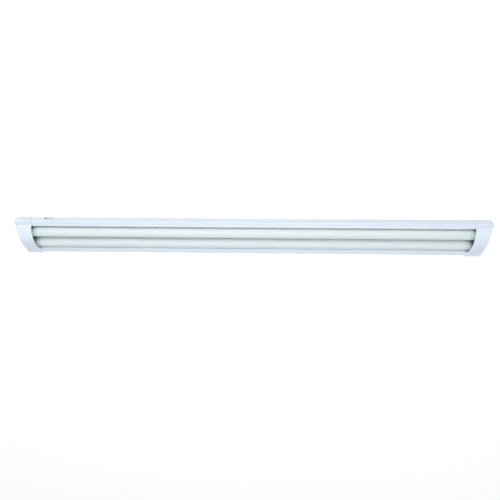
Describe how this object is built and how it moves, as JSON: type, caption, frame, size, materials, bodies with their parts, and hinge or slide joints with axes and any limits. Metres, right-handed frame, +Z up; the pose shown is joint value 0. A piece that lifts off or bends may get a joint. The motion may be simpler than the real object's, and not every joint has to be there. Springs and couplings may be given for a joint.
{
  "type": "fluorescent light fixture",
  "caption": "Slim white ceiling fitting with bare fluorescent tubes side by side in a shallow folded tray, arched moulded end caps and a wiring spine behind.",
  "frame": {"origin": "centre of the spine's back face, which meets the ceiling", "axes": "+Z up into the ceiling, so the lamps face -Z; X along the tubes; -Y is the side nearest the camera in the picture"},
  "size_m": [1.26, 0.112, 0.0651],
  "materials": {
    "white_enamel": "semi-gloss white baked enamel",
    "reflector_enamel": "gloss white baked enamel",
    "cap_plastic": "smooth moulded white plastic",
    "phosphor_glass": "glass, opaque white inside coating",
    "base_aluminium": "drawn aluminium",
    "base_insulator": "pressed phenolic board",
    "pin_brass": "bright brass",
    "stem_glass": "clear glass",
    "cathode_wire": "bare wire",
    "holder_plastic": "white moulding",
    "rotor_plastic": "white moulding",
    "contact_bronze": "spring bronze",
    "lead_insulation": "white wire insulation",
    "live_insulation": "brown wire insulation",
    "neutral_insulation": "blue wire insulation",
    "earth_insulation": "green and yellow wire insulation",
    "ballast_steel": "zinc plated steel",
    "potting_resin": "filled resin",
    "terminal_plastic": "white moulding",
    "nylon": "natural nylon",
    "grommet_rubber": "black rubber",
    "zinc_steel": "zinc plated steel"
  },
  "bodies": {
    "chassis": {"tray": "white_enamel", "spine": "white_enamel", "reflector": "reflector_enamel", "cable_grommet": "grommet_rubber", "reflector_spacers": "nylon", "reflector_screws": "zinc_steel", "reflector_nuts": "zinc_steel", "tray_screws": "zinc_steel", "ballast_screws": "zinc_steel", "mains_clamp_screws": "zinc_steel", "mains_block_screws": "zinc_steel", "earth_screw": "zinc_steel", "near_left_lampholder": "holder_plastic", "near_left_lampholder_cover": "holder_plastic", "near_left_lampholder_contacts": "contact_bronze", "near_left_lamp_leads": "lead_insulation", "near_right_lampholder": "holder_plastic", "near_right_lampholder_cover": "holder_plastic", "near_right_lampholder_contacts": "contact_bronze", "near_right_lamp_leads": "lead_insulation", "rear_left_lampholder": "holder_plastic", "rear_left_lampholder_cover": "holder_plastic", "rear_left_lampholder_contacts": "contact_bronze", "rear_left_lamp_leads": "lead_insulation", "rear_right_lampholder": "holder_plastic", "rear_right_lampholder_cover": "holder_plastic", "rear_right_lampholder_contacts": "contact_bronze", "rear_right_lamp_leads": "lead_insulation", "ballast_base": "ballast_steel", "ballast_cover": "ballast_steel", "ballast_core": "potting_resin", "ballast_mains_terminal": "terminal_plastic", "ballast_lamp_terminal": "terminal_plastic", "mains_terminal_block": "terminal_plastic", "earth_tag": "contact_bronze", "live_wire": "live_insulation", "neutral_wire": "neutral_insulation", "earth_wire": "earth_insulation", "wire_saddles": "nylon"},
    "near_tube": {"near_tube_glass": "phosphor_glass", "near_tube_bases": "base_aluminium", "near_tube_base_discs": "base_insulator", "near_tube_pins": "pin_brass", "near_tube_stems": "stem_glass", "near_tube_cathodes": "cathode_wire"},
    "rear_tube": {"rear_tube_glass": "phosphor_glass", "rear_tube_bases": "base_aluminium", "rear_tube_base_discs": "base_insulator", "rear_tube_pins": "pin_brass", "rear_tube_stems": "stem_glass", "rear_tube_cathodes": "cathode_wire"},
    "near_left_rotor": {"near_left_lampholder_rotor": "rotor_plastic"},
    "near_right_rotor": {"near_right_lampholder_rotor": "rotor_plastic"},
    "rear_left_rotor": {"rear_left_lampholder_rotor": "rotor_plastic"},
    "rear_right_rotor": {"rear_right_lampholder_rotor": "rotor_plastic"},
    "left_end_cap": {"left_end_cap": "cap_plastic"},
    "right_end_cap": {"right_end_cap": "cap_plastic"}
  },
  "joints": [
    {"name": "near_tube_twist", "type": "hinge", "parent": "chassis", "child": "near_tube", "pos_m": [0, -0.017, -0.044], "axis": [1, 0, 0], "range_deg": [0, 90]},
    {"name": "rear_tube_twist", "type": "hinge", "parent": "chassis", "child": "rear_tube", "pos_m": [0, 0.017, -0.044], "axis": [1, 0, 0], "range_deg": [0, 90]},
    {"name": "near_left_rotor_turn", "type": "hinge", "parent": "chassis", "child": "near_left_rotor", "pos_m": [-0.6, -0.017, -0.044], "axis": [1, 0, 0], "range_deg": [0, 90]},
    {"name": "near_right_rotor_turn", "type": "hinge", "parent": "chassis", "child": "near_right_rotor", "pos_m": [0.6, -0.017, -0.044], "axis": [1, 0, 0], "range_deg": [0, 90]},
    {"name": "rear_left_rotor_turn", "type": "hinge", "parent": "chassis", "child": "rear_left_rotor", "pos_m": [-0.6, 0.017, -0.044], "axis": [1, 0, 0], "range_deg": [0, 90]},
    {"name": "rear_right_rotor_turn", "type": "hinge", "parent": "chassis", "child": "rear_right_rotor", "pos_m": [0.6, 0.017, -0.044], "axis": [1, 0, 0], "range_deg": [0, 90]},
    {"name": "left_cap_slide", "type": "slide", "parent": "chassis", "child": "left_end_cap", "axis": [-1, 0, 0], "range_m": [0, 0.05]},
    {"name": "right_cap_slide", "type": "slide", "parent": "chassis", "child": "right_end_cap", "axis": [1, 0, 0], "range_m": [0, 0.05]}
  ],
  "couplings": [
    {"joint": "near_left_rotor_turn", "follows": "near_tube_twist", "ratio": 1},
    {"joint": "near_right_rotor_turn", "follows": "near_tube_twist", "ratio": 1},
    {"joint": "rear_left_rotor_turn", "follows": "rear_tube_twist", "ratio": 1},
    {"joint": "rear_right_rotor_turn", "follows": "rear_tube_twist", "ratio": 1}
  ]
}
